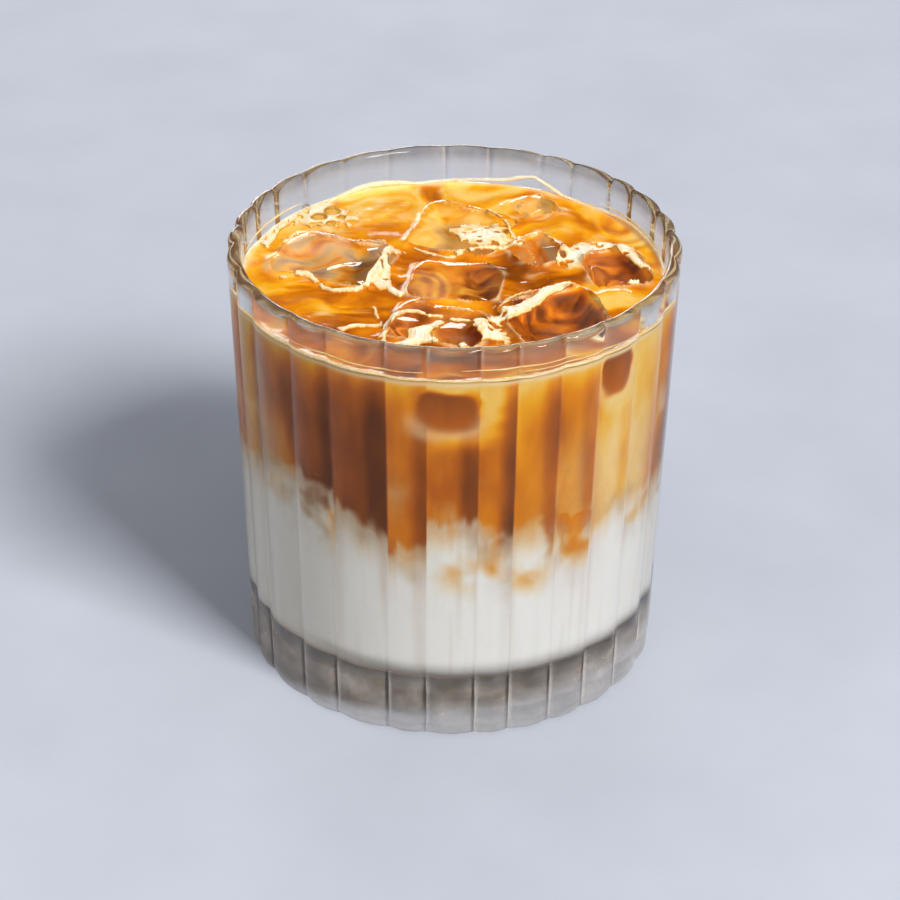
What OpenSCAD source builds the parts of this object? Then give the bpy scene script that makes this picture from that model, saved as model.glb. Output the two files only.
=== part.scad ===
// Iced latte in a ribbed tumbler: cold milk below, coffee above, and ice that breaks the surface.
// The glass stands on the plane Z = 0, its axis is Z, and its front faces -Y.

/* [Glass] */
// Height of the glass
glass_h = 88; // [70:1:120]
// Radius over the ribs at the rim
rim_r = 43.9; // [34:0.1:56]
// How much smaller the radius over the ribs is at the foot
foot_inset = 3.6; // [1:0.1:8]
// Thickness of the wall at the rim, over a rib
rim_wall = 2.6; // [2:0.1:4]
// Thickness of the wall at the floor, over a rib
foot_wall = 3.6; // [2.4:0.1:6]
// Thickness of the solid base
base_t = 11; // [6:0.5:18]
// Radius of the curve between the inner floor and the wall
floor_round = 6; // [2:0.5:12]
// Radius of the rounded outer heel
heel_round = 2; // [0.8:0.1:4]
// Radius of each rounded edge of the rim
lip_round = 1.1; // [0.5:0.05:1.25]

/* [Ribs] */
// Number of ribs round the glass
rib_count = 28; // [20:1:36]
// Depth of the valleys between the ribs
rib_depth = 0.8; // [0.4:0.05:1.2]
// Angle by which the pressed ribs wander from even spacing
rib_wander = 2.7; // [0:0.1:3]

/* [Drink] */
// Height of the rim above the surface of the drink
headroom = 8.2; // [6.5:0.1:20]
// Depth of the milk in the middle of the glass
milk_depth = 36; // [20:1:45]
// Slope of the boundary between milk and coffee, which falls towards the right
milk_slope = 11; // [0:1:14]
// Number of tongues of coffee that hang into the milk
tongue_count = 9; // [5:1:12]
// How far the longest tongue hangs below the boundary
tongue_drop = 8; // [3:0.5:10]

/* [Ice] */
// Height of an ice cube
ice_h = 18; // [12:0.5:22]
// How far an upright ice cube stands out of the drink
ice_proud = 1.9; // [0.5:0.1:2]
// Edge length of the widest ice cube, as a share of the radius inside the glass
ice_share = 0.5; // [0.35:0.01:0.52]

/* [Hidden] */
$fn = 96;

over = 1;                                   // length by which a cutting tool runs past what it cuts
foot_r = rim_r - foot_inset;
side_lean = atan(foot_inset / glass_h);     // lean of the outer side
bore_rim_r = rim_r - rim_wall;
bore_foot_r = foot_r + base_t * tan(side_lean) - foot_wall;
bore_lean = atan((bore_rim_r - bore_foot_r) / (glass_h - base_t));
drink_z = glass_h - headroom;
milk_z = base_t + milk_depth;
surface_r = bore_r(drink_z);                // radius of the drink's surface
block_w = 4 * rim_r;                        // width of a block that is wider than the glass

// Radius inside the glass at height z above the curve of the floor.
function bore_r(z) = bore_foot_r + (z - base_t) * tan(bore_lean);

// Angle of the valley before rib k, from the front towards the right. Two waves make the ribs uneven.
function valley(k) =
    let (turn = 360 / rib_count)
    turn * k + 4.8
        + rib_wander * sin(3 * turn * k + 153)
        + 0.42 * rib_wander * sin(13 * turn * k + 45);

// Radius of the round of a rib that spans `half` degrees to each side of its crest.
function rib_round(half) =
    let (
        valley_r = (foot_r + rim_r) / 2 - rib_depth,
        chord = valley_r * sin(half),
        rise = valley_r + rib_depth - valley_r * cos(half)
    )
    (chord * chord + rise * rise) / (2 * rise);

// Turns a shape from the +X side to `angle` degrees right of the front.
module at_angle(angle) {
    rotate([0, 0, angle - 90]) children();
}

// One rib: a leaning rod whose outer line runs from the foot to the rim.
module rib(k) {
    half = (valley(k + 1) - valley(k)) / 2;
    round_r = rib_round(half);
    at_angle(valley(k) + half)
        translate([foot_r, 0, 0])
            rotate([0, side_lean, 0])
                translate([-round_r, 0, -2 * over])
                    cylinder(r = round_r, h = glass_h + 4 * over);
}

// Outline of the blank that the ribs are trimmed to, with its round heel and outer lip.
module blank_outline() {
    proud = 0.15;                           // the blank's edges lie just outside the ribs' crests
    heel_x = foot_r + proud - heel_round;
    lip_x = rim_r + proud - lip_round;
    lip_z = glass_h - lip_round;
    polygon([
        [0, 0], [heel_x, 0], [heel_x + heel_round, heel_round],
        [lip_x + lip_round, lip_z], [lip_x, glass_h], [0, glass_h]
    ]);
    translate([heel_x, heel_round]) circle(heel_round);
    translate([lip_x, lip_z]) circle(lip_round);
}

// Outline of the room inside the glass up to height z, with the round edge of its floor.
module bore_outline(z) {
    round_x = bore_foot_r + floor_round * (tan(bore_lean) - 1 / cos(bore_lean));
    round_z = base_t + floor_round;
    polygon([
        [0, base_t],
        [round_x, base_t],
        [round_x + floor_round * cos(bore_lean), round_z - floor_round * sin(bore_lean)],
        [bore_r(z), z],
        [0, z]
    ]);
    intersection() {
        translate([round_x, round_z]) circle(floor_round);
        translate([0, base_t]) square([bore_foot_r + floor_round, floor_round]);
    }
}

// Outline of the flare that rounds the inner edge of the rim.
module flare_outline() {
    lip_x = bore_r(glass_h - lip_round) + lip_round;
    lip_z = glass_h - lip_round;
    difference() {
        translate([0, lip_z]) square([lip_x, lip_round + over]);
        translate([lip_x, lip_z]) circle(lip_round);
    }
}

module glass() {
    color("#d3d6de", 0.35)
    difference() {
        intersection() {
            union() {
                translate([0, 0, -over])
                    cylinder(
                        r1 = foot_r - rib_depth - over,
                        r2 = rim_r - rib_depth - over,
                        h = glass_h + 2 * over
                    );
                for (k = [0 : rib_count - 1]) rib(k);
            }
            rotate_extrude() blank_outline();
        }
        rotate_extrude() {
            bore_outline(glass_h - lip_round);
            flare_outline();
        }
    }
}

// Everything above the boundary between milk and coffee: a leaning block with tongues below it.
module coffee_zone() {
    translate([0, 0, milk_z])
        rotate([0, milk_slope, 0])
            translate([-block_w / 2, -block_w / 2, 0]) cube(block_w);
    for (i = [0 : tongue_count - 1]) {
        angle = 360 * i / tongue_count - 22 + 8 * sin(150 * i);
        reach = surface_r * (0.72 + 0.06 * cos(110 * i));
        boundary_z = milk_z - reach * sin(angle) * tan(milk_slope);
        drop = tongue_drop * (0.72 + 0.28 * cos(130 * i));
        ball_r = 1.2 * drop;                // its middle is above the boundary, so it hangs by `drop`
        at_angle(angle) translate([reach, 0, boundary_z + ball_r - drop]) sphere(ball_r);
    }
}

module milk() {
    color("#efe9df")
    difference() {
        rotate_extrude() bore_outline(drink_z);
        coffee_zone();
    }
}

module coffee() {
    color("#c1720f")
    difference() {
        intersection() {
            rotate_extrude() bore_outline(drink_z);
            coffee_zone();
        }
        ice_1();
        ice_2();
        ice_3();
        ice_4();
        ice_5();
        ice_6();
        ice_7();
        ice_8();
    }
}

// An ice cube with its corners melted round. `place` is its middle and `plan` its width and depth,
// as shares of the radius of the drink's surface and of the widest cube's edge.
module ice_block(place, plan, yaw, lean) {
    widest = ice_share * surface_r;
    size = [plan.x * widest, plan.y * widest, ice_h];
    melt = 0.88;                            // the ball that cuts the corners, as a share of the diagonal
    color("#e6c08a", 0.6)
    translate([place.x * surface_r, place.y * surface_r, drink_z + ice_proud - ice_h / 2])
        rotate([lean.x, lean.y, yaw])
            intersection() {
                cube(size, center = true);
                sphere(melt * norm(size) / 2);
            }
}

module ice_1() { ice_block(place = [-0.57, 0.16], plan = [1.06, 0.82], yaw = -24, lean = [3, -3]); }
module ice_2() { ice_block(place = [0.03, 0.49], plan = [0.90, 0.82], yaw = -20, lean = [5, 3]); }
module ice_3() { ice_block(place = [0.39, 0.73], plan = [0.46, 0.38], yaw = 30, lean = [-4, 2]); }
module ice_4() { ice_block(place = [0.41, 0.29], plan = [0.48, 0.52], yaw = 36, lean = [2, -6]); }
module ice_5() { ice_block(place = [0.76, 0.10], plan = [0.60, 0.68], yaw = 14, lean = [2, 4]); }
module ice_6() { ice_block(place = [0.48, -0.39], plan = [0.92, 0.90], yaw = 20, lean = [5, -3]); }
module ice_7() { ice_block(place = [-0.08, -0.48], plan = [0.90, 0.68], yaw = -14, lean = [-3, 4]); }
module ice_8() { ice_block(place = [0.00, -0.05], plan = [0.86, 0.64], yaw = -8, lean = [3, 2]); }

glass();
milk();
coffee();
ice_1();
ice_2();
ice_3();
ice_4();
ice_5();
ice_6();
ice_7();
ice_8();
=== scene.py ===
"""Looks of an iced latte in a ribbed tumbler. Lengths are in millimetres until a mesh is made."""

import bmesh
import bpy
import numpy as np
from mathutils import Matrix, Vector
from mathutils.bvhtree import BVHTree


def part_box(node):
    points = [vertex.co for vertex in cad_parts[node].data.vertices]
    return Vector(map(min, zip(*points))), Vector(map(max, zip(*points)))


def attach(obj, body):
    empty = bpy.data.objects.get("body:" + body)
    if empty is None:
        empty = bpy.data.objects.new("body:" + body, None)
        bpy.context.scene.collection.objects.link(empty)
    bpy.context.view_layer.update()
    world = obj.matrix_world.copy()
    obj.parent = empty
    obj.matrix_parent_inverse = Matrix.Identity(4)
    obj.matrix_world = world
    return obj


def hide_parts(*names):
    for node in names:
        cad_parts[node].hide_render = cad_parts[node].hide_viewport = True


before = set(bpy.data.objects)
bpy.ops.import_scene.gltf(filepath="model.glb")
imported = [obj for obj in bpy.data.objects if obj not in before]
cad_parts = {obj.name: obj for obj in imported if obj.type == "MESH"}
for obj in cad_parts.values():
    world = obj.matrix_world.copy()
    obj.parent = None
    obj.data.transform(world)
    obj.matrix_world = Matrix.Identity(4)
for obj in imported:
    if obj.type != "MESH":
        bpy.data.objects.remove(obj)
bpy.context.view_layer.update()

MM = 0.001
TURN = 360.0


# ---- sizes

def top_mm(node):
    """Height of the top of a CAD node, in millimetres."""
    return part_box(node)[1][2] / MM


# The glass, as in the CAD model: the radii are over the ribs.
HEIGHT = top_mm("glass")
RIM_R = 43.9
FOOT_R = 40.3
RIM_WALL = 2.6
FOOT_WALL = 3.6
BASE_T = 11.0
FLOOR_ROUND = 6.0
HEEL_ROUND = 2.0
LIP_H = 1.2

RIBS = 28
RIB_DEPTH = 0.8
RIB_WANDER = 2.7  # degrees
RIB_STEPS = 16  # columns of points across each rib

LEVEL = top_mm("coffee")  # height of the drink's surface
INTO_WALL = 0.3  # how far the drink reaches into the glass's wall
LEAN = np.tan(np.arctan2(RIM_R - FOOT_R, HEIGHT))
BORE_FOOT_R = FOOT_R + BASE_T * LEAN - FOOT_WALL
BORE_RIM_R = RIM_R - RIM_WALL


def bore_r(z):
    """Radius inside the glass at height z."""
    return BORE_FOOT_R + (z - BASE_T) * (BORE_RIM_R - BORE_FOOT_R) / (HEIGHT - BASE_T)


SURFACE_R = bore_r(LEVEL)


# ---- small tools

def linear(red, green, blue):
    """A colour given as 0 to 255 on a screen, as the linear colour that shaders take."""
    screen = np.array([red, green, blue]) / 255
    dark = screen / 12.92
    light = ((screen + 0.055) / 1.055) ** 2.4
    return (*np.where(screen > 0.04045, light, dark), 1.0)


def smooth(low, high, value):
    """0 below low, 1 above high, and a smooth step between them."""
    t = np.clip((value - low) / (high - low), 0, 1)
    return t * t * (3 - 2 * t)


def bump(value, middle, width):
    """A round bump, 1 at the middle."""
    return np.exp(-((value - middle) / width) ** 2)


def angle_gap(angle, middle):
    """Signed difference between two angles in degrees, the short way round."""
    return (angle - middle + TURN / 2) % TURN - TURN / 2


def bump_at(angle, middle, width):
    """A round bump over angles in degrees, 1 at the middle."""
    return bump(angle_gap(angle, middle), 0, width)


def corner_value(cell, seed):
    """A repeatable random number from 0 to 1 for each whole-number cell."""
    mixed = cell[..., 0] * 374761393 + cell[..., 1] * 668265263 + cell[..., 2] * 2147483647
    mixed = (mixed + seed * 1274126177) & 0xFFFFFFFF
    mixed = ((mixed ^ (mixed >> 13)) * 1274126177) & 0xFFFFFFFF
    mixed = ((mixed ^ (mixed >> 15)) * 2246822519) & 0xFFFFFFFF
    return ((mixed ^ (mixed >> 16)) & 0xFFFF) / 0xFFFF


def noise(points, seed):
    """Smooth value noise from 0 to 1. One unit of the points is one cell."""
    cell = np.floor(points).astype(np.int64)
    part = points - cell
    blend = part * part * (3 - 2 * part)
    total = np.zeros(points.shape[:-1])
    for corner in np.ndindex(2, 2, 2):
        offset = np.array(corner)
        weight = np.prod(np.where(offset == 1, blend, 1 - blend), axis=-1)
        total += weight * corner_value(cell + offset, seed)
    return total


def fractal(points, octaves, seed):
    """Several octaves of noise, from 0 to 1."""
    total = 0.0
    weights = 0.0
    for octave in range(octaves):
        weight = 0.5 ** octave
        total = total + weight * noise(points * 2.03 ** octave, seed + 17 * octave)
        weights += weight
    return total / weights


def polar(radius, angle, z):
    """Points at `angle` degrees right of the front."""
    turn = np.radians(angle)
    radius, turn, z = np.broadcast_arrays(radius, turn, z)
    return np.stack([radius * np.sin(turn), -radius * np.cos(turn), z], axis=-1)


def even_angles(count):
    """Angles in degrees, evenly round a full turn."""
    return np.arange(count) * TURN / count


def angle_of(points):
    """The angle of each point, in degrees right of the front."""
    return np.degrees(np.arctan2(points[:, 0], -points[:, 1]))


def radius_of(points):
    """The distance of each point from the axis."""
    return np.hypot(points[:, 0], points[:, 1])


def put_in_scene(thing):
    bpy.context.scene.collection.objects.link(thing)


def new_object(name, vertices, faces, material):
    """A smooth-shaded mesh object from points in millimetres."""
    mesh = bpy.data.meshes.new(name)
    mesh.from_pydata((np.asarray(vertices) * MM).tolist(), [], faces)
    mesh.update()
    mesh.polygons.foreach_set("use_smooth", [True] * len(mesh.polygons))
    thing = bpy.data.objects.new(name, mesh)
    put_in_scene(thing)
    mesh.materials.append(material)
    return thing


def sharpen(thing, first, count):
    """Parts the shading along a ring of `count` points, the first of which has the index `first`."""
    for edge in thing.data.edges:
        if first <= min(edge.vertices) and max(edge.vertices) < first + count:
            edge.use_edge_sharp = True


def band_faces(start, rows, count):
    """Faces between rings of `count` points each, of which the first begins at the index `start`."""
    faces = []
    for low in range(start, start + (rows - 1) * count, count):
        for i in range(count):
            j = (i + 1) % count
            faces.append((low + i, low + j, low + count + j, low + count + i))
    return faces


def rings_object(name, rings, material):
    """A closed surface from rings of points. The first and the last ring are single points."""
    count = len(rings[1])
    vertices = [rings[0]]
    for ring in rings[1:-1]:
        vertices.extend(ring)
    vertices.append(rings[-1])
    last = 1 + (len(rings) - 3) * count
    faces = [(0, 1 + (i + 1) % count, 1 + i) for i in range(count)]
    faces += band_faces(1, len(rings) - 2, count)
    faces += [(last + i, last + (i + 1) % count, len(vertices) - 1) for i in range(count)]
    return new_object(name, np.array(vertices), faces, material)


def add_attribute(thing, name, values):
    """Stores one number for each point, for the material to read."""
    attribute = thing.data.attributes.new(name, "FLOAT", "POINT")
    attribute.data.foreach_set("value", np.asarray(values, dtype=np.float32))


def vertices_mm(thing):
    """The points of a mesh, in millimetres."""
    co = np.zeros(len(thing.data.vertices) * 3, np.float32)
    thing.data.vertices.foreach_get("co", co)
    return co.reshape(-1, 3).astype(float) / MM


def set_vertices_mm(thing, points):
    """Moves the points of a mesh."""
    thing.data.vertices.foreach_set("co", (points * MM).astype(np.float32).ravel())
    thing.data.update()


# ---- materials

class Nodes:
    """A material's node tree, with short calls for adding nodes and links."""

    def __init__(self, name):
        self.material = bpy.data.materials.new(name)
        self.material.use_nodes = True
        self.tree = self.material.node_tree
        self.tree.nodes.clear()

    def add(self, kind, inputs=None, **settings):
        """A new node. Its inputs are set to numbers or colours, or linked to other nodes' outputs."""
        node = self.tree.nodes.new(kind)
        for key, value in settings.items():
            setattr(node, key, value)
        for socket, value in (inputs or {}).items():
            if isinstance(value, (int, float, tuple)):
                node.inputs[socket].default_value = value
            else:
                self.tree.links.new(value, node.inputs[socket])
        return node

    def attribute(self, name):
        return self.add("ShaderNodeAttribute", attribute_name=name).outputs["Fac"]

    def place(self):
        return self.add("ShaderNodeTexCoord").outputs["Object"]

    def shadow(self):
        """1 for a ray that looks for shadows, and 0 for any other."""
        return self.add("ShaderNodeLightPath").outputs["Is Shadow Ray"]

    def noise(self, scale, detail, stretch=(1, 1, 1)):
        mapping = self.add("ShaderNodeMapping", {"Scale": stretch, "Vector": self.place()})
        inputs = {"Scale": scale, "Detail": detail, "Vector": mapping.outputs["Vector"]}
        return self.add("ShaderNodeTexNoise", inputs).outputs["Fac"]

    def math(self, operation, first, second):
        return self.add("ShaderNodeMath", {0: first, 1: second}, operation=operation).outputs["Value"]

    def ramp(self, factor, stops):
        """Colours by position. A stop is a position and a colour as on a screen."""
        node = self.add("ShaderNodeValToRGB", {"Fac": factor})
        elements = node.color_ramp.elements
        while len(elements) < len(stops):
            elements.new(1.0)
        for element, (position, *color) in zip(elements, stops):
            element.position = position
            element.color = linear(*color)
        return node.outputs["Color"]

    def mix_color(self, factor, first, second, blend_type="MIX"):
        inputs = {"Factor": factor, 6: first, 7: second}
        return self.add("ShaderNodeMix", inputs, data_type="RGBA", blend_type=blend_type).outputs[2]

    def power(self, color, exponent):
        return self.add("ShaderNodeGamma", {"Color": color, "Gamma": exponent}).outputs["Color"]

    def blend_as_dye(self, share, first, second):
        """Mixes two colours much as liquids mix, so that a little milk in coffee stays warm."""
        share = self.math("MINIMUM", self.math("MAXIMUM", share, 0.0), 1.0)
        plain = self.mix_color(share, first, second)
        first_part = self.power(first, self.math("SUBTRACT", 1.0, share))
        dye = self.mix_color(1.0, first_part, self.power(second, share), "MULTIPLY")
        return self.mix_color(share, dye, plain)

    def bump(self, height, distance):
        return self.add("ShaderNodeBump", {"Height": height, "Distance": distance}).outputs["Normal"]

    def shader(self, kind, inputs=None):
        return self.add("ShaderNodeBsdf" + kind, inputs).outputs["BSDF"]

    def mix_shaders(self, factor, first, second):
        return self.add("ShaderNodeMixShader", {"Fac": factor, 1: first, 2: second}).outputs["Shader"]

    def finish(self, shader):
        """Makes a shader the surface, and gives the finished material."""
        self.add("ShaderNodeOutputMaterial", {"Surface": shader})
        return self.material


def clear_material(name, color, ior, roughness, wave_scale, wave_height, haze_stops):
    """Glass or ice with a faint haze. Shadow rays pass through it, so that lamps light what is inside."""
    nodes = Nodes(name)
    waves = nodes.bump(nodes.noise(wave_scale, 2.0), wave_height)
    glass = nodes.shader("Glass", {"Color": color, "IOR": ior, "Roughness": roughness, "Normal": waves})
    veil = nodes.math("ADD", nodes.attribute("tone"), nodes.noise(160, 4.0, (1, 1, 1.6)))
    haze = nodes.shader("Diffuse", {"Color": nodes.ramp(veil, haze_stops)})
    cloud = nodes.math("ADD", nodes.noise(350, 4.0, (1, 1, 0.4)), 0.5)
    share = nodes.math("MULTIPLY", nodes.attribute("haze"), cloud)
    body = nodes.mix_shaders(share, glass, haze)
    passing = nodes.shader("Transparent", {"Color": color})
    return nodes.finish(nodes.mix_shaders(nodes.shadow(), body, passing))


# How light sinks into the drink and the foam.
SUBSURFACE = {"Subsurface Radius": (1.0, 0.7, 0.4), "Subsurface Scale": 0.8 * MM}

# Coffee from its darkest to its lightest.
COFFEE_STOPS = [
    (0.00, 98, 46, 0),
    (0.20, 142, 68, 0),
    (0.40, 192, 98, 0),
    (0.60, 232, 136, 0),
    (0.78, 250, 174, 20),
    (1.00, 255, 206, 104),
]


def drink_material(name, roughness, specular, relief):
    """Cloudy coffee and milk. Attributes say how light, milky, dull and foamy it is at each point."""
    nodes = Nodes(name)
    grain = nodes.math("SUBTRACT", nodes.noise(420, 4.0, (1, 1, 0.35)), 0.5)
    light = nodes.math("ADD", nodes.attribute("light"), nodes.math("MULTIPLY", grain, 0.22))
    coffee = nodes.ramp(light, COFFEE_STOPS)
    milk_grain = nodes.math("MULTIPLY", nodes.math("SUBTRACT", nodes.noise(900, 2.0), 0.5), 0.1)
    share = nodes.math("ADD", nodes.attribute("milk"), milk_grain)
    mixed = nodes.blend_as_dye(share, coffee, linear(250, 248, 244))
    dulled = nodes.mix_color(nodes.attribute("dull"), mixed, linear(186, 146, 108))
    cream = nodes.mix_color(nodes.attribute("foam"), dulled, linear(250, 218, 160))
    return nodes.finish(nodes.shader("Principled", {
        "Base Color": cream,
        "Roughness": roughness,
        "IOR": 1.34,
        "Specular IOR Level": specular,
        "Subsurface Weight": 0.12,
        **SUBSURFACE,
        "Normal": nodes.bump(nodes.noise(260, 3.0), relief),
    }))


def foam_material():
    """Cream-coloured froth of fine bubbles, yellower where it is thin. Its shadows are faint."""
    nodes = Nodes("froth")
    cells = nodes.add("ShaderNodeTexVoronoi", {"Scale": 1500, "Vector": nodes.place()})
    grain = nodes.math("MULTIPLY", nodes.math("SUBTRACT", nodes.noise(700, 4.0), 0.5), 0.5)
    tone = nodes.ramp(nodes.math("ADD", nodes.attribute("thick"), grain), [
        (0.10, 222, 146, 48),
        (0.35, 242, 196, 118),
        (0.70, 250, 224, 176),
        (1.00, 254, 240, 216),
    ])
    froth = nodes.shader("Principled", {
        "Base Color": tone,
        "Roughness": 0.25,
        "Subsurface Weight": 0.2,
        **SUBSURFACE,
        "Normal": nodes.bump(cells.outputs["Distance"], 0.15 * MM),
    })
    share = nodes.math("MULTIPLY", nodes.shadow(), 0.65)
    return nodes.finish(nodes.mix_shaders(share, froth, nodes.shader("Transparent")))


def bubble_material():
    """The thin skin of a bubble: clear, with a bright gloss at its edges."""
    nodes = Nodes("bubble_skin")
    clear = nodes.shader("Transparent", {"Color": (0.97, 0.93, 0.86, 1)})
    gloss = nodes.shader("Glossy", {"Roughness": 0.05})
    edge = nodes.add("ShaderNodeFresnel", {"IOR": 1.45}).outputs["Fac"]
    share = nodes.math("MULTIPLY", edge, nodes.noise(900, 2.0))
    return nodes.finish(nodes.mix_shaders(share, clear, gloss))


# ---- the glass

def valley(k):
    """Angle of the valley before rib k, in degrees right of the front."""
    turn = TURN / RIBS
    slow = np.sin(np.radians(3 * turn * k + 153))
    fast = np.sin(np.radians(13 * turn * k + 45))
    return turn * k + 4.8 + RIB_WANDER * (slow + 0.42 * fast)


VALLEYS = np.array([valley(k) for k in range(RIBS + 1)])
RIB_HALF = np.diff(VALLEYS) / 2
RIB_MIDDLE = VALLEYS[:-1] + RIB_HALF


def rib_round(half):
    """Radius of the round of a rib that spans `half` degrees to each side of its crest."""
    valley_r = (FOOT_R + RIM_R) / 2 - RIB_DEPTH
    chord = valley_r * np.sin(np.radians(half))
    rise = valley_r + RIB_DEPTH - valley_r * np.cos(np.radians(half))
    return (chord ** 2 + rise ** 2) / (2 * rise)


def rib_columns():
    """Angles of the glass's columns of points, closer together near the valleys."""
    steps = np.sin(np.linspace(-1, 1, RIB_STEPS, endpoint=False) * np.pi / 2)
    return np.concatenate([mid + half * steps for mid, half in zip(RIB_MIDDLE, RIB_HALF)])


def outer_r(angle, z):
    """Radius over the ribs at one height, with the valleys slightly rounded."""
    crest = FOOT_R + (RIM_R - FOOT_R) * z / HEIGHT
    softness = 0.07
    total = np.zeros(len(angle))
    for mid, half in zip(RIB_MIDDLE, RIB_HALF):
        round_r = rib_round(half)
        turn = np.radians(angle_gap(angle, mid))
        middle_r = crest - round_r
        inside = round_r ** 2 - (middle_r * np.sin(turn)) ** 2
        reach = middle_r * np.cos(turn) + np.sqrt(np.maximum(inside, 0))
        near = (inside > 0) & (np.cos(turn) > 0.8)
        total += np.where(near, np.exp((reach - crest) / softness), 0)
    return crest + softness * np.log(total)


def glass_rings(angle):
    """Rings of the glass, from the middle of its underside over the rim to the middle of its floor."""
    rings = [(0, 0, 0)]
    heel_side = outer_r(angle, HEEL_ROUND)
    for share in (0.25, 0.5, 0.75, 0.9):
        rings.append(polar((heel_side - HEEL_ROUND) * share, angle, 0))
    for step in np.linspace(0, np.pi / 2, 7):
        radius = heel_side - HEEL_ROUND * (1 - np.sin(step))
        rings.append(polar(radius, angle, HEEL_ROUND * (1 - np.cos(step))))
    for z in np.linspace(HEEL_ROUND, HEIGHT - LIP_H, 40)[1:-1]:
        waver = 0.05 * (noise(polar(5.0, angle, z / 12), 5) - 0.5)
        rings.append(polar(outer_r(angle, z) + waver, angle, z))
    lip_z = HEIGHT - LIP_H
    side = outer_r(angle, lip_z)
    bore = bore_r(lip_z)
    for step in np.linspace(0, np.pi, 13):
        radius = (side + bore) / 2 + (side - bore) / 2 * np.cos(step)
        rings.append(polar(radius, angle, lip_z + LIP_H * np.sin(step)))
    for z in np.linspace(lip_z, BASE_T + FLOOR_ROUND, 30)[1:]:
        rings.append(polar(bore_r(z), angle, z))
    round_r = bore_r(BASE_T + FLOOR_ROUND) - FLOOR_ROUND
    for step in np.linspace(0, np.pi / 2, 9)[1:]:
        radius = round_r + FLOOR_ROUND * np.cos(step)
        rings.append(polar(radius, angle, BASE_T + FLOOR_ROUND * (1 - np.sin(step))))
    for share in (0.75, 0.5, 0.25):
        rings.append(polar(round_r * share, angle, BASE_T))
    rings.append((0, 0, BASE_T))
    return rings


def glass_haze(points):
    """Share and tone of haze on the glass: most in the base, some above the drink, least beside it. The
    tone paints a highlight and a shade beside each valley.
    """
    z = points[:, 2]
    _, _, half, across = rib_coordinates(angle_of(points))
    outside = radius_of(points) > FOOT_R - FOOT_WALL / 2
    from_valley = np.where(across > 0, across - 1, across + 1) * half
    valleys = bump(from_valley, 0, 0.55) * outside
    base = (0.24 + 0.12 * valleys) * smooth(BASE_T + 4, BASE_T, z) + 0.22 * bump(z, BASE_T - 1, 4.5)
    body = 0.10 * valleys * smooth(52, 34, z) * smooth(BASE_T - 2, BASE_T + 3, z)
    rim = (0.07 + 0.05 * valleys) * smooth(LEVEL - 1, LEVEL + 2, z)
    lip = smooth(HEIGHT - 4.0, HEIGHT - 1.0, z)
    rim += 0.30 * lip
    patches = 0.7 + 0.6 * fractal(points / np.array([9, 9, 30]), 3, 7)
    # Painted highlight just right of each valley, and painted shade just left of it.
    tone = 0.45 * bump(from_valley, 0.35, 0.4) - 0.75 * bump(from_valley, -0.45, 0.4)
    tone -= 0.30 * lip
    tone += 0.35 * smooth(4.0, 0.5, z) * fractal(points / np.array([6, 6, 1.2]), 2, 13)
    return (base + body + rim) * patches, tone * outside


def make_glass():
    """The ribbed tumbler."""
    color = (0.975, 0.98, 0.985, 1)
    stops = [(0.0, 78, 70, 62), (0.40, 152, 138, 122), (0.75, 204, 192, 180)]
    material = clear_material("clear_glass", color, 1.36, 0.03, 90, 0.02 * MM, stops)
    thing = rings_object("ribbed_glass", glass_rings(rib_columns()), material)
    haze, tone = glass_haze(vertices_mm(thing))
    add_attribute(thing, "haze", haze)
    add_attribute(thing, "tone", tone)
    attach(thing, "root")
    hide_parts("glass")


# ---- the drink's colours

# Height of the top of the milk at the wall, by angle right of the front.
EDGE = [
    (-62, 52), (-46, 53.5), (-33, 51), (-20, 43), (-8, 44), (-4, 50.5), (6, 50.5), (14, 46), (22, 47.5),
    (30, 45), (42, 44), (50, 47.5), (66, 46), (90, 43), (110, 50), (135, 46), (160, 52), (185, 44),
    (210, 49), (235, 43), (250, 51), (280, 48),
]
BOUNDARY_Z = 52.0  # height of the boundary, taken as level

# Lighter and darker stretches of coffee at the wall: angle, half width and change. At the front they are
# partly painted shade, darker at the left, and partly painted light, lighter at the right; the rest is the
# coffee's own uneven tone.
TONES = [
    (-70, 8, 0.16), (-58, 9, 0.02), (-41, 7, -0.22), (-27, 9, -0.26), (0, 5, 0.06), (9, 4, 0.04),
    (15, 2, -0.25), (24, 4, 0.02), (38, 6, 0.28), (50, 7, 0.36), (64, 8, 0.30),
    (92, 12, -0.30), (150, 14, -0.25), (205, 12, 0.20), (240, 14, -0.30),
]

# Amber stains in the milk: angle, height, half width in degrees and half height.
STAINS = [
    (-34, 44, 3, 5), (2, 38, 4, 4), (15, 38, 4, 2.5), (22, 35, 3, 3), (33, 41, 4, 3),
    (100, 36, 5, 5), (148, 40, 4, 4), (186, 36, 5, 4), (222, 38, 4, 5), (268, 40, 5, 4),
]

# Ice that is sunk in the coffee against the wall: angle, height, half width and half height.
SUNK_ICE = [
    (-1.5, 73.8, 5.6, 4.6), (47, 76.0, 3.6, 5.0),
    (118, 72.0, 6.0, 5.0), (182, 74.0, 5.0, 5.0), (243, 71.0, 6.5, 5.5),
]


def rib_coordinates(angle):
    """For each angle: its rib, the rib's middle and half width, and the place across it from -1 to 1."""
    turned = (angle - VALLEYS[0]) % TURN + VALLEYS[0]
    rib = np.clip(np.searchsorted(VALLEYS, turned, side="right") - 1, 0, RIBS - 1)
    middle = RIB_MIDDLE[rib]
    half = RIB_HALF[rib]
    return rib, middle, half, (turned - middle) / half


def boundary(angle):
    """Height of the top of the milk at the wall."""
    places, heights = np.array(EDGE, float).T
    return np.interp(angle, places, heights, period=TURN)


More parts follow.
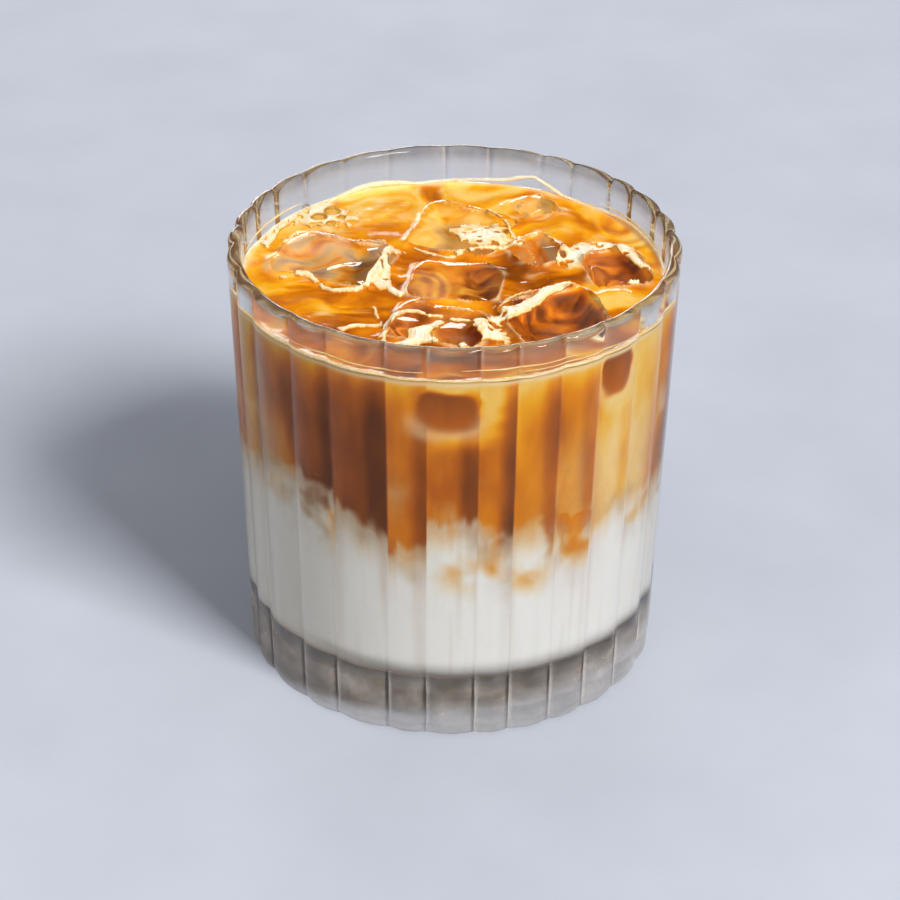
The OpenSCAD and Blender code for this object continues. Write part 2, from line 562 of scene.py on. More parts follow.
def wall_look(points):
    """How light, milky, dull and foamy the drink looks at the wall. Part of its lightness and dullness is
    painted light and shade.
    """
    angle = angle_of(points)
    z = points[:, 2]
    rib, middle, _, across = rib_coordinates(angle)
    seen = middle + angle_gap(angle, middle) * 0.6
    place = polar(SURFACE_R, seen, z)
    warp = 3.0 * (fractal(place / 7, 2, 3) - 0.5)
    streaks = fractal(place * np.array([0.75, 0.75, 0.10]), 3, 11)
    serration = fractal(place * np.array([1.6, 1.6, 0.05]), 2, 23)
    edge = boundary(seen) + 4.0 * (streaks - 0.5) + 3.2 * (serration - 0.5) + warp
    right = bump_at(seen, 54, 23) + 0.7 * bump_at(seen, 205, 22)
    stain = fractal(polar(SURFACE_R, seen, z * 0.22) / 2.4, 3, 73)
    softness = 0.5 + 1.6 * fractal(place / 9, 2, 31) + 5.0 * right + 5.0 * smooth(0.50, 0.75, stain)
    first_share = 0.32 + 0.50 * smooth(0.30, 0.70, stain)
    rising = smooth(2, -11, z - edge)
    milk = smooth(softness, -softness, z - edge) * (first_share + (1 - first_share) * rising)

    below = np.maximum(LEVEL - z, 0)
    depth = below / (LEVEL - BOUNDARY_Z)
    tone = fractal(polar(SURFACE_R, seen, z * 0.28) / 6.5, 3, 41)
    light = 0.42 + 0.75 * (tone - 0.5)
    for at, wide, change in TONES:
        light += change * bump_at(seen, at, wide)
    light += 0.46 * np.exp(-below / 3.6)
    light -= 0.16 * smooth(0.2, 0.8, depth) * bump_at(seen, 0, 20)
    # Painted light and shade on each rib: its left half is lighter and its right half darker, by a random
    # amount for each rib.
    rib_light_and_shade = 0.10 + 0.28 * corner_value(np.stack([rib, rib * 0, rib * 0], -1), 9)
    light -= rib_light_and_shade * (smooth(0.0, 0.6, across) - 0.3)

    peach = (right + 0.5 * bump_at(seen, -62, 12)) * smooth(0.15, 0.85, depth) * 0.50
    milk = np.maximum(milk, peach * smooth(0.95, 0.2, across))

    wisps = fractal(polar(SURFACE_R, seen + 4 * warp / 3, z * 0.55) / 3.6, 3, 57)
    near = smooth(-15, -1, z - edge) * (z < edge + 2)
    milk = milk - near * smooth(0.54, 0.80, wisps) * 0.8
    clouds = fractal(polar(SURFACE_R, seen, z * 0.5) / 5.0, 3, 67)
    milk += smooth(0.60, 0.85, clouds) * 0.35 * smooth(0.25, 0.8, depth)
    dull = (0.25 + 0.75 * smooth(0.35, 0.70, stain)) * np.exp(-np.maximum(edge - z, 0) / 7.0) * 0.75
    # Painted shade: near the top of the coffee, its left edge is dulled towards olive grey, and it stays
    # dulled above the milk there.
    dull += 0.30 * bump_at(seen, -62, 7) * smooth(0.9, 0.2, depth)
    dull *= 1 - smooth(-2, 2, z - edge) * (1 - bump_at(seen, -62, 8))
    for at, height, wide, tall in STAINS:
        blob = bump(angle_gap(seen, at) + warp, 0, wide) * bump(z + 2 * warp, height, tall)
        blob = blob * smooth(0.36, 0.62, wisps)
        milk = milk - 0.60 * blob
        light = light + (0.60 - light) * smooth(0.0, 0.3, blob)
    streak = fractal(polar(SURFACE_R, angle, z * 0.04) / 1.5, 2, 77)
    dull += 0.20 * smooth(0.45, 0.9, streak) * milk
    drift = fractal(polar(SURFACE_R, seen, z * 0.45) / 4.2, 3, 87)
    dull += 0.42 * smooth(0.46, 0.72, drift) * smooth(-17, -3, z - edge) * milk

    cream = np.exp(-((z - LEVEL - 0.1) / 0.45) ** 2)
    for at, height, wide, tall in SUNK_ICE:
        gap_x = angle_gap(angle, at) * np.pi / 180 * SURFACE_R / wide
        gap_z = (z - height) / tall
        rim = (np.abs(gap_x) ** 3 + np.abs(gap_z) ** 3) ** (1 / 3)
        rim = rim + 0.5 * (fractal(place / 3.5, 2, 79) - 0.5)
        inside = smooth(1.12, 0.90, rim)
        # Painted highlight: a lighter amber band just outside the right side of each sunk cube.
        light = light + 0.34 * bump(rim, 1.45, 0.40) * smooth(-0.9, 0.3, gap_x)
        light = light * (1 - inside) + inside * (0.30 - 0.10 * gap_z)
        milk = milk * (1 - inside)
        dull = dull * (1 - inside) + 0.02 * inside
        cream = np.maximum(cream, 0.42 * bump(rim, 1.18, 0.24) * smooth(0.2, -0.8, gap_z))
    # Painted shade: the drink is dulled darker along the bottom, where the glass's floor curves up.
    dull = np.maximum(dull, 0.75 * smooth(BASE_T + 3.2, BASE_T + 0.5, z))
    return light, milk, dull, cream


# For each cube: how light, milky and dull the drink under it is, how far the drink dips under the
# middle of the cube, and the most haze in the cube.
CUBES = {
    "ice_1": (0.78, 0.20, 0.50, 2.8, 0.22),
    "ice_2": (0.90, 0.05, 0.05, 3.0, 0.05),
    "ice_3": (0.80, 0.15, 0.35, 2.6, 0.05),
    "ice_4": (0.60, 0.05, 0.45, 2.8, 0.10),
    "ice_5": (0.36, 0.00, 0.05, 3.8, 0.05),
    "ice_6": (0.29, 0.00, 0.00, 5.0, 0.05),
    "ice_7": (0.42, 0.00, 0.10, 4.0, 0.05),
    "ice_8": (0.42, 0.05, 0.05, 3.0, 0.03),
}
ICE_GAP = 0.3  # least gap between the ice and the glass


def top_look(points, owner, depth):
    """How light, milky and dull the drink looks from above, in the open and under the ice.

    A pale curl of milk lies under the left side of the middle cube.
    """
    swirl = 5.0 * (fractal(points / 11, 2, 71) - 0.5)
    streak = points / np.array([9, 5, 9]) + swirl[:, None] * np.array([0.35, 0.8, 0])
    light = 0.62 + 1.3 * (fractal(streak, 4, 83) - 0.5)
    radius = radius_of(points)
    light += 0.10 * smooth(SURFACE_R - 6, SURFACE_R, radius)
    light -= 0.24 * smooth(-8, -24, points[:, 1]) + 0.26 * bump(radius, 0, 18)
    light += 0.10 * smooth(-8, -26, points[:, 0])
    milk = 0.45 * smooth(0.60, 0.85, fractal(streak * 1.6 + 7, 3, 97))
    dull = 0.25 * smooth(0.55, 0.85, fractal(streak * 1.3 + 3, 3, 103))
    for index, (lit, milky, dulled, _, _) in enumerate(CUBES.values()):
        share = (owner == index) * smooth(0.0, 2.0, depth)
        patch = fractal(streak * 2.0 + 11 * index, 3, 107 + index)
        light = light * (1 - share) + share * (lit + 1.0 * (patch - 0.5))
        milk = milk * (1 - share) + share * milky * 2 * patch
        dull = dull * (1 - share) + share * dulled * 2 * smooth(0.3, 0.7, patch)
    curl_r = np.hypot(points[:, 0] + 5.0, (points[:, 1] + 1.5) * 1.2) + 0.5 * swirl
    curl = smooth(5.2, 3.6, curl_r) * smooth(0.0, 2.0, depth)
    light += curl * (0.16 + 0.20 * np.sin(curl_r * 2.1 + points[:, 0] * 0.5))
    dull = np.maximum(dull, 0.38 * curl)
    return light, milk, dull


# ---- ice

def section(thing, z):
    """The segments in which a mesh crosses the level z, as an array of pairs of (x, y)."""
    mesh = bmesh.new()
    mesh.from_mesh(thing.data)
    parts = mesh.verts[:] + mesh.edges[:] + mesh.faces[:]
    cut = bmesh.ops.bisect_plane(mesh, geom=parts, plane_co=(0, 0, z * MM), plane_no=(0, 0, 1))
    edges = [item for item in cut["geom_cut"] if isinstance(item, bmesh.types.BMEdge)]
    segments = np.array([[vert.co[:2] for vert in edge.verts] for edge in edges]) / MM
    mesh.free()
    return segments


def outline_distance(points, segments):
    """Distance of (x, y) points to an outline, negative inside it."""
    nearest = np.full(len(points), 1e9)
    crossings = np.zeros(len(points), int)
    for start, end in segments:
        along = end - start
        share = np.clip(((points - start) @ along) / max(along @ along, 1e-9), 0, 1)
        nearest = np.minimum(nearest, np.linalg.norm(points - start - share[:, None] * along, axis=1))
        straddles = (start[1] > points[:, 1]) != (end[1] > points[:, 1])
        rise = along[1] if abs(along[1]) > 1e-9 else 1e-9
        meets = start[0] + (points[:, 1] - start[1]) / rise * along[0]
        crossings += straddles & (points[:, 0] < meets)
    return np.where(crossings % 2 == 1, -nearest, nearest)


def make_ice(material):
    """Each CAD ice cube, with its faces melted into soft waves."""
    pieces = []
    for index, (name, (_, _, _, _, most_haze)) in enumerate(CUBES.items()):
        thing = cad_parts[name].copy()
        thing.data = thing.data.copy()
        for key in list(thing.keys()):
            del thing[key]
        thing.name = "clear_" + name
        thing.parent = None
        put_in_scene(thing)
        remesh = thing.modifiers.new("remesh", "REMESH")
        remesh.mode = "VOXEL"
        remesh.voxel_size = 0.6 * MM
        soften = thing.modifiers.new("soften", "SMOOTH")
        soften.iterations = 5
        bpy.context.view_layer.update()
        graph = bpy.context.evaluated_depsgraph_get()
        mesh = bpy.data.meshes.new_from_object(thing.evaluated_get(graph))
        thing.modifiers.clear()
        thing.data = mesh
        points = vertices_mm(thing)
        normals = np.array([vert.normal for vert in mesh.vertices])
        waves = fractal(points / 6.5, 2, 101 + index) - 0.5
        ripples = noise(points / 2.2, 131 + index) - 0.5
        points = points + normals * (1.7 * waves + 0.14 * ripples)[:, None]
        reach = radius_of(points)
        room = bore_r(points[:, 2]) - ICE_GAP
        points[:, :2] *= np.minimum(room / reach, 1)[:, None]
        set_vertices_mm(thing, points)
        mesh.polygons.foreach_set("use_smooth", [True] * len(mesh.polygons))
        mesh.materials.clear()
        mesh.materials.append(material)
        veil = smooth(0.35, 0.80, fractal(points / 4.5, 3, 137 + index))
        add_attribute(thing, "haze", most_haze * veil)
        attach(thing, "root")
        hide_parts(name)
        pieces.append(thing)
    return pieces


def tree_of(thing):
    """A search tree of a mesh, in millimetres."""
    points = [Vector(p) for p in vertices_mm(thing)]
    return BVHTree.FromPolygons(points, [tuple(p.vertices) for p in thing.data.polygons])


def height_over(tree, points, downwards=True):
    """Height at which a vertical line meets a mesh, from above or from below; NaN where it doesn't."""
    start_z = HEIGHT + 20 if downwards else -20
    direction = Vector((0, 0, -1 if downwards else 1))
    heights = np.full(len(points), np.nan)
    for i, (x, y) in enumerate(points):
        hit = tree.ray_cast(Vector((x, y, start_z)), direction)[0]
        if hit is not None:
            heights[i] = hit.z
    return heights


# ---- the drink

DRINK_COLUMNS = 448  # points round each ring of the milk and the coffee

# Radii of the rings of points on the drink's surface, from the wall to the middle.
TOP_RADII = np.concatenate([
    SURFACE_R + INTO_WALL - np.array([0.0, 0.3, 0.6, 1.0, 1.4, 1.8]),
    np.arange(SURFACE_R - 2.0, 0.6, -0.38),
])


def surface_height(plan, ice):
    """At (x, y) points: the drink's height, the gap to the nearest ice, and which ice that is.

    The drink climbs a little at the glass and the ice, and dips into a bowl under each cube.
    """
    radius = radius_of(plan)
    flat = np.pad(plan, ((0, 0), (0, 1)))
    height = LEVEL + 0.5 * (fractal(flat / 7, 3, 151) - 0.5)
    height += 0.9 * np.exp(-np.maximum(SURFACE_R - radius, 0) / 0.9)
    nearest = np.full(len(plan), 1e9)
    owner = np.full(len(plan), -1)
    for index, (thing, (_, _, _, dip, _)) in enumerate(zip(ice, CUBES.values())):
        outline = section(thing, LEVEL)
        low = outline.min(axis=(0, 1)) - 5
        high = outline.max(axis=(0, 1)) + 5
        close = np.flatnonzero(np.all((plan > low) & (plan < high), axis=1))
        gap = outline_distance(plan[close], outline)
        closer = gap < nearest[close]
        nearest[close[closer]] = gap[closer]
        owner[close[closer]] = index
        inside = close[gap < -0.2]
        inward = -gap[gap < -0.2]
        bowl = LEVEL - 0.2 - dip * smooth(0.2, 6.0, inward)
        bowl += 0.8 * (fractal(flat[inside] / 3.5, 2, 157) - 0.5) * smooth(0.5, 3.0, inward)
        under = height_over(tree_of(thing), plan[inside], downwards=False)
        height[inside] = np.fmax(under + 0.4, bowl)
    climb = 0.7 * np.exp(-np.maximum(nearest, 0) / 0.8) * (nearest > -0.2)
    return height + climb, nearest, owner


def add_looks(thing, light, milk, dull, foam):
    """Stores the four numbers that the drink's materials read."""
    add_attribute(thing, "light", np.clip(light, 0.02, 0.98))
    for name, values in (("milk", milk), ("dull", dull), ("foam", foam)):
        add_attribute(thing, name, np.clip(values, 0, 1))


def make_coffee(material, surface, ice):
    """The upper layer: its wall, its surface with the ice's pockets, and a bottom that dips into the milk.

    The glossy surface material is left off the pockets, because ice covers them.
    """
    columns = DRINK_COLUMNS
    angle = even_angles(columns)
    rows = 96
    meet = boundary(angle)
    rings = [(0, 0, BOUNDARY_Z - 14)]
    for share in (0.3, 0.6, 0.85):
        rings.append(polar(SURFACE_R * share, angle, BOUNDARY_Z - 14))
    for step in np.linspace(0, 1, rows):
        z = meet + (LEVEL + 0.6 - meet) * step
        rings.append(polar(bore_r(z) + INTO_WALL, angle, z))
    wall_count = len(rings)
    for radius in TOP_RADII:
        rings.append(polar(radius, angle, LEVEL))
    rings.append((0, 0, LEVEL))
    thing = rings_object("coffee_layer", rings, material)
    sharpen(thing, 1 + 3 * columns, columns)

    points = vertices_mm(thing)
    first_face = columns * (wall_count - 1)
    first_top = 1 + first_face
    top = np.arange(first_top, len(points))
    points[top, 2], nearest, owner = surface_height(points[top, :2], ice)
    set_vertices_mm(thing, points)

    light, milk, dull, foam = wall_look(points)
    light[top], milk[top], dull[top] = top_look(points[top], owner, np.maximum(-nearest, 0))
    flat = points[top] * np.array([1, 1, 0])
    width = 0.25 + 0.9 * smooth(0.45, 0.75, fractal(flat / 6, 2, 163))
    edge = np.exp(-(np.maximum(nearest, 0) / width) ** 2) * (nearest > -0.3)
    wall_gap = SURFACE_R - radius_of(points[top])
    ring = 0.8 * np.exp(-(np.maximum(wall_gap, 0) / (0.2 + 0.7 * width)) ** 2)
    foam[top] = np.maximum(0.7 * edge * smooth(0.35, 0.65, fractal(flat / 4, 2, 167)), ring)
    add_looks(thing, light, milk, dull, foam)
    thing.data.materials.append(surface)
    faces = thing.data.polygons
    slots = np.zeros(len(faces), np.int32)
    corners = np.array([face.vertices[0] for face in faces[first_face:]]) - first_top
    under_ice = nearest[np.minimum(corners, len(top) - 1)] < -0.6
    slots[first_face:] = ~(under_ice & (corners >= 0))
    faces.foreach_set("material_index", slots)
    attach(thing, "root")
    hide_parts("coffee")


def make_milk(material):
    """The lower layer, with a top that reaches up into the coffee."""
    columns = DRINK_COLUMNS
    angle = even_angles(columns)
    rows = 60
    meet = boundary(angle)
    round_r = bore_r(BASE_T + FLOOR_ROUND) - FLOOR_ROUND
    rings = [(0, 0, BASE_T - INTO_WALL)]
    for share in (0.4, 0.8, 1.0):
        rings.append(polar(round_r * share, angle, BASE_T - INTO_WALL))
    for step in np.linspace(0, np.pi / 2, 12)[1:]:
        radius = round_r + (FLOOR_ROUND + INTO_WALL) * np.sin(step)
        z = BASE_T + FLOOR_ROUND - (FLOOR_ROUND + INTO_WALL) * np.cos(step)
        rings.append(polar(radius, angle, z))
    for step in np.linspace(0, 1, rows)[1:]:
        z = BASE_T + FLOOR_ROUND + (meet - BASE_T - FLOOR_ROUND) * step
        rings.append(polar(bore_r(z) + INTO_WALL, angle, z))
    wall_count = len(rings)
    for share in (0.9, 0.6, 0.3):
        rings.append(polar(SURFACE_R * share, angle, BOUNDARY_Z + 6))
    rings.append((0, 0, BOUNDARY_Z + 6))
    thing = rings_object("milk_layer", rings, material)
    sharpen(thing, 1 + (wall_count - 2) * columns, columns)
    points = vertices_mm(thing)
    light, milk, dull, foam = wall_look(points)
    add_looks(thing, light, milk, dull, foam * 0)
    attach(thing, "root")
    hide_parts("milk")


# ---- foam and bubbles

# Strands of foam that lie on the drink and the ice: half width at each end, then points (right, back).
STRANDS = [
    (3.2, 1.1, [(23, 7.5), (24.5, 11), (27, 14), (30.5, 14), (33, 11), (34.5, 7), (37.5, 3)]),
    (2.0, 1.3, [(8, -18), (13.5, -14.5), (18, -9), (22, -6), (25.5, -5.5)]),
    (0.5, 0.4, [(8.5, -14.5), (11, -11.5), (15, -7.5), (18.5, -4), (22.5, -1)]),
    (0.9, 0.5, [(26, -6.5), (30.5, -4.5), (35, -5)]),
    (0.7, 0.7, [(-4.5, -19), (-1, -18.5), (2.5, -19.5)]),
    (0.9, 0.7, [(-12.5, -27.5), (-13, -24), (-11, -19.5), (-7.5, -17.5), (-4.5, -18.5)]),
    (1.5, 0.9, [(-12, -27.5), (-6, -25), (-2.5, -21)]),
    (0.9, 0.5, [(-21, -20.5), (-18.5, -19.5), (-14.5, -19.5), (-14, -17.5), (-15.5, -12)]),
    (0.9, 1.3, [(-11.5, 10.5), (-13, 3.5), (-12.5, -3.5), (-10.5, -7)]),
    (1.1, 0.6, [(-11.5, 10), (-15, 0.5), (-17.5, -4.5), (-21, -6), (-24.5, -4.5), (-29, -0.5), (-34.5, 0)]),
    (0.4, 0.4, [(-35, 15.5), (-27.5, 19.5), (-22, 17.5), (-10, 10.5)]),
    (0.6, 0.9, [(-7.5, 12.5), (-1, 9), (1, 10), (12.5, 12.5)]),
    (0.8, 0.4, [(12.5, 11.5), (12, 15.5), (9.5, 22), (2.5, 30), (-5, 32)]),
    (0.4, 0.4, [(11.5, 24.5), (16.5, 35.5), (20.5, 30.5)]),
    (0.4, 0.3, [(14.5, 9.5), (19, -2)]),
    (1.1, 0.7, [(-37.5, 13), (-35, 20), (-31, 25.5)]),
]

# Wider patches of froth: (right, back) of the middle, half sizes, and turn in degrees.
PATCHES = [
    (7.0, -22.5, 5.0, 2.6, -40),
    (5.5, 16.0, 6.5, 4.2, 10),
    (-27.0, 26.5, 7.5, 5.4, -20),
    (-13.5, -1.5, 2.2, 4.0, 15),
]

# Large bubbles: (right, back) and radius.
BUBBLES = [(-27, 25.5, 1.3), (-24.5, 28, 1.5), (-24.5, 22.8, 0.9), (-30, 28.5, 1.0), (-22.6, 25.6, 0.7)]
SMALL_BUBBLES = 150
BURST_BUBBLES = 700  # small holes, over the whole drink
FOAM_GRID = 0.2  # distance between the points of the sheet of foam
FOAM_THICK = 0.5


def curve_through(points, steps=12):
    """A smooth line through given points."""
    points = np.array(points, float)
    ends = np.vstack([2 * points[0] - points[1], points, 2 * points[-1] - points[-2]])
    t = np.linspace(0, 1, steps, endpoint=False)[:, None]
    pieces = []
    for a, b, c, d in zip(ends, ends[1:], ends[2:], ends[3:]):
        bend = (2 * a - 5 * b + 4 * c - d) * t ** 2 + (3 * b - 3 * c + d - a) * t ** 3
        pieces.append(b + 0.5 * ((c - a) * t + bend))
    return np.vstack([*pieces, points[-1:]])


def foam_cover(plan, gap):
    """How far inside the foam each (x, y) point is: 0 at its edge, 1 in the middle of a strand."""
    flat = np.pad(plan, ((0, 0), (0, 1)))
    sway = np.stack([fractal(flat / 3, 3, 171), fractal(flat / 3, 3, 173)], axis=-1) - 0.5
    swayed = plan + 1.6 * sway
    cover = np.full(len(plan), -1.0)
    for first, last, line in STRANDS:
        path = curve_through(line)
        for point, half in zip(path, np.linspace(first, last, len(path))):
            near = np.flatnonzero(np.abs(swayed - point).max(axis=1) < half)
            reach = (1 - np.hypot(*(swayed[near] - point).T) / half) * min(half / 1.2, 1)
            cover[near] = np.maximum(cover[near], reach)
    ragged = 0.9 * (fractal(flat / 1.6, 2, 179) - 0.42)
    for x, y, long, short, turn in PATCHES:
        turn = np.radians(turn)
        right = (swayed[:, 0] - x) * np.cos(turn) + (swayed[:, 1] - y) * np.sin(turn)
        back = (swayed[:, 1] - y) * np.cos(turn) - (swayed[:, 0] - x) * np.sin(turn)
        reach = 1.2 * (1 - np.hypot(right / long, back / short)) - ragged
        cover = np.maximum(cover, np.minimum(reach, 0.8))
    width = 0.15 + 0.9 * smooth(0.50, 0.80, fractal(flat / 7, 2, 181))
    collar = 1 - np.abs(gap - 0.1) / width - 1.2 * smooth(0.62, 0.45, fractal(flat / 5, 2, 191))
    return np.maximum(cover, collar)


def pierce(plan, cover):
    """Opens holes in the foam where bubbles have burst or sit."""
    rng = np.random.default_rng(12)
    holes = list(BUBBLES)
    for x, y in rng.uniform(-SURFACE_R, SURFACE_R, (BURST_BUBBLES, 2)):
        holes.append((x, y, rng.uniform(0.2, 0.6)))
    for x, y, radius in holes:
        near = np.flatnonzero(np.hypot(plan[:, 0] - x, plan[:, 1] - y) < radius * 1.6)
        reach = np.hypot(plan[near, 0] - x, plan[near, 1] - y) / radius - 1
        cover[near] = np.minimum(cover[near], reach * 1.2)
    return cover


def top_height(plan, ice):
    """Height of whatever lies uppermost at (x, y) points, drink or ice, and the gap to the nearest ice."""
    height, gap, _ = surface_height(plan, ice)
    for thing in ice:
        height = np.fmax(height, height_over(tree_of(thing), plan))
    return height, gap


def make_foam(material, ice):
    """One closed sheet of foam, thick in the middle of each strand and thin at its edges."""
    steps = np.arange(-SURFACE_R, SURFACE_R + FOAM_GRID, FOAM_GRID)
    count = len(steps)
    x, y = np.meshgrid(steps, steps, indexing="ij")
    plan = np.column_stack([x.ravel(), y.ravel()])
    within = radius_of(plan) < SURFACE_R - 0.2
    height = np.zeros(len(plan))
    gap = np.full(len(plan), 1e9)
    height[within], gap[within] = top_height(plan[within], ice)
    cover = pierce(plan, np.where(within, foam_cover(plan, gap), -1))
    inside = (cover > 0).reshape(count, count)

    whole = inside[:-1, :-1] & inside[1:, :-1] & inside[:-1, 1:] & inside[1:, 1:]
    used = np.zeros_like(inside)
    buried = np.ones_like(inside)
    for i, j in ((0, 0), (1, 0), (0, 1), (1, 1)):
        shifted = (slice(i, count - 1 + i), slice(j, count - 1 + j))
        used[shifted] |= whole
        buried[shifted] &= whole
    buried[[0, -1], :] = False
    buried[:, [0, -1]] = False
    used = used.ravel()
    buried = buried.ravel()
    top_id = np.cumsum(used) - 1
    low_id = np.where(buried, used.sum() + np.cumsum(buried) - 1, top_id)
    thick = np.sqrt(np.clip(cover, 0, 1)) * FOAM_THICK * buried
    grain = 0.16 * (noise(np.column_stack([plan / 0.55, height]), 193) - 0.5)
    upper = height + 0.05 + thick + grain * (thick > 0)
    lower = height - 0.25
    upper_points = np.column_stack([plan, upper])[used]
    lower_points = np.column_stack([plan, lower])[buried]
    cell_i, cell_j = np.nonzero(whole)
    corners = (cell_i * count + cell_j)[:, None] + np.array([0, count, count + 1, 1])
    touches = buried[corners].any(axis=1)
    faces = top_id[corners].tolist() + low_id[corners[touches]][:, ::-1].tolist()
    thing = new_object("foam", np.vstack([upper_points, lower_points]), faces, material)
    add_attribute(thing, "thick", np.concatenate([thick[used], thick[buried]]) / FOAM_THICK)
    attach(thing, "root")
    return plan[inside.ravel()], height[inside.ravel()]


# Where the ring of foam climbs the wall: angle right of the front, half width and rise.
CLIMBS = [(157, 9, 2.2), (166, 24, 1.2), (120, 20, 0.7), (205, 14, 0.8), (262, 9, 0.8), (30, 10, 0.5)]

# Marks of foam left on the glass above the drink: from and to angle, and height above it.
MARKS = [(-52, -8, 2.3), (2, 34, 2.9), (18, 60, 1.9), (100, 135, 2.2), (228, 262, 2.4)]


def bead(angle, middle_z, tall, deep, closed):
    """A line of foam along the inside of the glass, as points and faces."""
    sides = 10
    columns = len(angle)
    rows = []
    for side in np.arange(sides) * 2 * np.pi / sides:
        z = middle_z + tall * np.sin(side)
        rows.append(polar(bore_r(z) + 0.1 - (deep + 0.2) * np.cos(side), angle, z))
    faces = []
    for side in range(sides):
        for i in range(columns if closed else columns - 1):
            j = (i + 1) % columns
            row = side * columns
            after = (side + 1) % sides * columns
            faces.append((row + i, after + i, after + j, row + j))
    if not closed:
        faces.append(tuple(side * columns for side in reversed(range(sides))))
        faces.append(tuple(side * columns + columns - 1 for side in range(sides)))
    return np.vstack(rows), faces


def make_foam_ring(material):
    """The line of foam where the drink meets the glass, and short ones where it stood before."""
    angle = even_angles(560)
    unit = polar(10, angle, 0)
    rise = np.zeros(len(angle))
    for middle, width, most in CLIMBS:
        rise += most * np.maximum(1 - np.abs(angle_gap(angle, middle)) / width, 0)
    middle_z = LEVEL + 0.7 + rise + 0.7 * (fractal(unit / 3.5, 3, 199) - 0.5)
    tall = 0.24 + 0.9 * (fractal(unit / 2.0, 3, 200) - 0.35)
    vertices, faces = bead(angle, middle_z, np.maximum(tall, 0.10), 0.35, True)
    ring_count = len(vertices)
    columns = 120
    for start, end, lift in MARKS:
        angle = np.linspace(start, end, columns)
        unit = polar(10, angle, 0)
        middle_z = LEVEL + lift + 0.9 * (fractal(unit / 3.0, 3, 211) - 0.5)
        taper = np.sin(np.linspace(0, np.pi, columns)) ** 0.5
        tall = (0.04 + 0.30 * fractal(unit / 1.5, 3, 223)) * taper + 0.01
        points, more = bead(angle, middle_z, tall, -0.05 + 0.05 * taper, False)
        faces += [tuple(index + len(vertices) for index in face) for face in more]
        vertices = np.vstack([vertices, points])
    thing = new_object("foam_ring", vertices, faces, material)
    points = vertices_mm(thing)
    thick = 0.22 + 0.26 * smooth(-15, 20, points[:, 1]) + 0.5 * fractal(points / 2.5, 2, 223)
    thick[ring_count:] -= 0.12
    add_attribute(thing, "thick", thick)
    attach(thing, "root")


def make_bubbles(material, places, heights):
    """Domes that stand in the foam, joined into one piece."""
    rng = np.random.default_rng(5)
    chosen = list(BUBBLES)
    for index in rng.choice(len(places), SMALL_BUBBLES, replace=False):
        x, y = places[index]
        chosen.append((x, y, rng.uniform(0.18, 0.5)))
    vertices = []
    faces = []
    around = 14
    rows = 7
    turn = np.arange(around) * 2 * np.pi / around
    circle = np.column_stack([np.cos(turn), np.sin(turn), turn * 0])
    for x, y, radius in chosen:
        nearest = np.argmin(np.hypot(places[:, 0] - x, places[:, 1] - y))
        start = len(vertices)
        for lift in np.linspace(-0.9, 1.4, rows):
            z = heights[nearest] + 0.15 + radius * np.sin(lift) * 0.9
            vertices.extend(np.array([x, y, z]) + radius * np.cos(lift) * circle)
        faces += band_faces(start, rows, around)
        faces.append(tuple(start + (rows - 1) * around + i for i in range(around)))
        faces.append(tuple(start + i for i in reversed(range(around))))
    thing = new_object("bubbles", np.array(vertices), faces, material)
    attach(thing, "root")


# ---- the studio

MIDDLE = (0, 0, HEIGHT / 2)
CAMERA_RISE = 30.34  # degrees above the middle of the glass
CAMERA_AWAY = 714.3
CAMERA_ROLL = 0.57  # degrees
CAMERA_LENS = 144
FLOOR_HALF = 2500


def make_floor():
    """A plain pale floor."""
    nodes = Nodes("floor")
    tone = nodes.ramp(nodes.noise(30, 4.0), [(0.3, 190, 194, 204), (0.7, 196, 200, 210)])
    inputs = {"Base Color": tone, "Roughness": 0.9, "Specular IOR Level": 0.0}
    material = nodes.finish(nodes.shader("Principled", inputs))
    corners = FLOOR_HALF * np.array([(-1, -1, 0), (1, -1, 0), (1, 1, 0), (-1, 1, 0)])
    floor = new_object("floor", corners, [(0, 1, 2, 3)], material)


def make_lamp(name, place, size, power, color=(1, 1, 1)):
    """A square soft box at `place` that faces the middle of the glass."""
    data = bpy.data.lights.new(name, "AREA")
    data.shape = "SQUARE"
    data.size = size * MM
    data.energy = power
    data.color = color
    lamp = bpy.data.objects.new(name, data)
    lamp.location = Vector(place) * MM
    lamp.rotation_euler = (Vector(MIDDLE) - Vector(place)).to_track_quat("-Z", "Y").to_euler()
    put_in_scene(lamp)


def make_lamps():
    """A large key at the front right, and weak lamps at the left and behind."""
    make_lamp("key", (1140, -1305, 1600), 720, 66)
    make_lamp("left", (-700, -420, 130), 420, 2.8, (1.0, 0.97, 0.93))
    make_lamp("back", (-150, 880, 150), 420, 4.0)


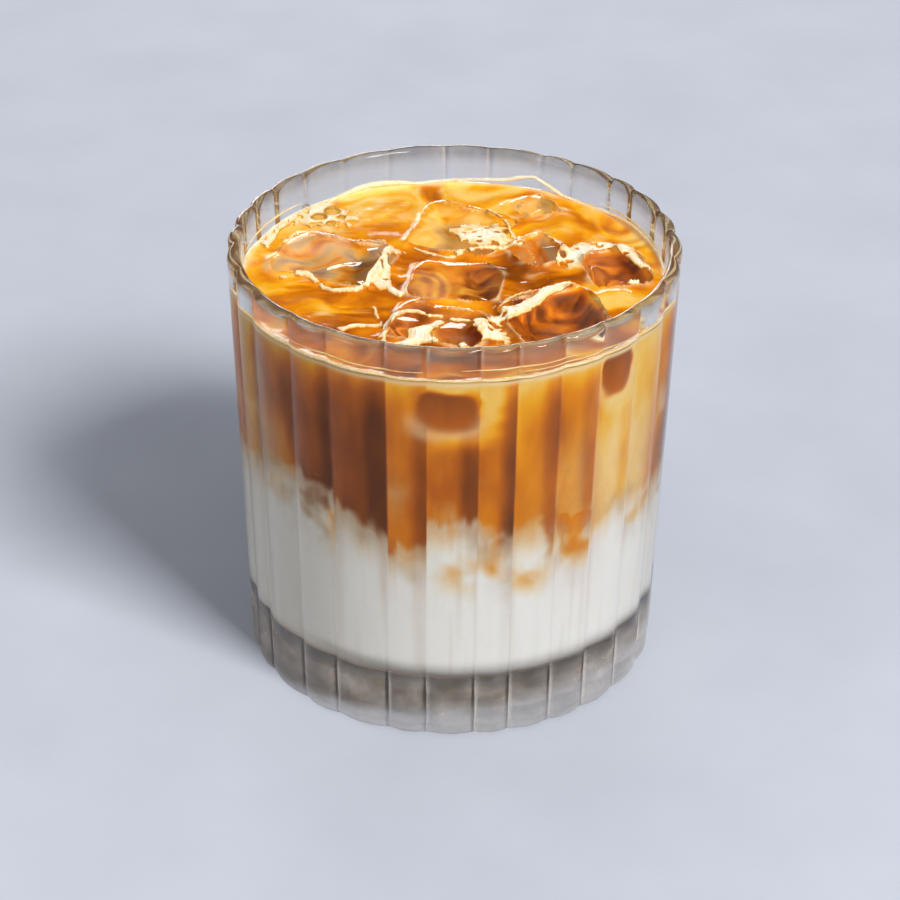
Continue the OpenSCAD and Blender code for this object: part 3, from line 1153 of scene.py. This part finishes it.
def make_world():
    """A cool sky that is brightest overhead and dim below."""
    world = bpy.data.worlds.new("studio")
    world.use_nodes = True
    tree = world.node_tree
    background = tree.nodes["Background"]
    background.inputs["Color"].default_value = (0.88, 0.92, 1.0, 1)
    place = tree.nodes.new("ShaderNodeTexCoord")
    split = tree.nodes.new("ShaderNodeSeparateXYZ")
    strength = tree.nodes.new("ShaderNodeMapRange")
    for name, value in (("From Min", 0.45), ("To Min", 0.04), ("To Max", 0.50)):
        strength.inputs[name].default_value = value
    tree.links.new(place.outputs["Generated"], split.inputs["Vector"])
    tree.links.new(split.outputs["Z"], strength.inputs["Value"])
    tree.links.new(strength.outputs["Result"], background.inputs["Strength"])
    bpy.context.scene.world = world


def make_camera():
    """The camera, at the photo's angle."""
    data = bpy.data.cameras.new("camera")
    data.lens = CAMERA_LENS
    data.sensor_width = 36
    data.shift_x = -0.0029
    data.shift_y = -0.0123
    data.clip_end = 20
    camera = bpy.data.objects.new("camera", data)
    rise = np.radians(CAMERA_RISE)
    place = Vector((0, -CAMERA_AWAY * np.cos(rise), HEIGHT / 2 + CAMERA_AWAY * np.sin(rise)))
    camera.location = place * MM
    camera.rotation_euler = (Vector(MIDDLE) - place).to_track_quat("-Z", "Y").to_euler()
    camera.rotation_euler.rotate_axis("Z", np.radians(CAMERA_ROLL))
    put_in_scene(camera)
    bpy.context.scene.camera = camera


def set_view():
    """Plain colours, and enough light bounces for glass in front of ice."""
    bpy.context.scene.view_settings.view_transform = "Standard"
    cycles = bpy.context.scene.cycles
    cycles.use_denoising = True
    cycles.max_bounces = 16
    cycles.transmission_bounces = 16
    cycles.transparent_max_bounces = 16
    cycles.caustics_refractive = False
    cycles.caustics_reflective = False


def main():
    """Makes the studio and every piece."""
    make_lamps()
    make_world()
    make_camera()
    set_view()
    make_floor()
    make_glass()
    stops = [(0.3, 226, 196, 160), (0.8, 246, 232, 214)]
    ice_material = clear_material("clear_ice", (0.99, 0.985, 0.975, 1), 1.31, 0.0, 260, 0.12 * MM, stops)
    ice = make_ice(ice_material)
    drink = drink_material("drink", 0.5, 0.05, 0.02 * MM)
    surface = drink_material("drink_surface", 0.10, 0.4, 0.15 * MM)
    make_milk(drink)
    make_coffee(drink, surface, ice)
    froth = foam_material()
    places, heights = make_foam(froth, ice)
    make_foam_ring(froth)
    make_bubbles(bubble_material(), places, heights)


main()
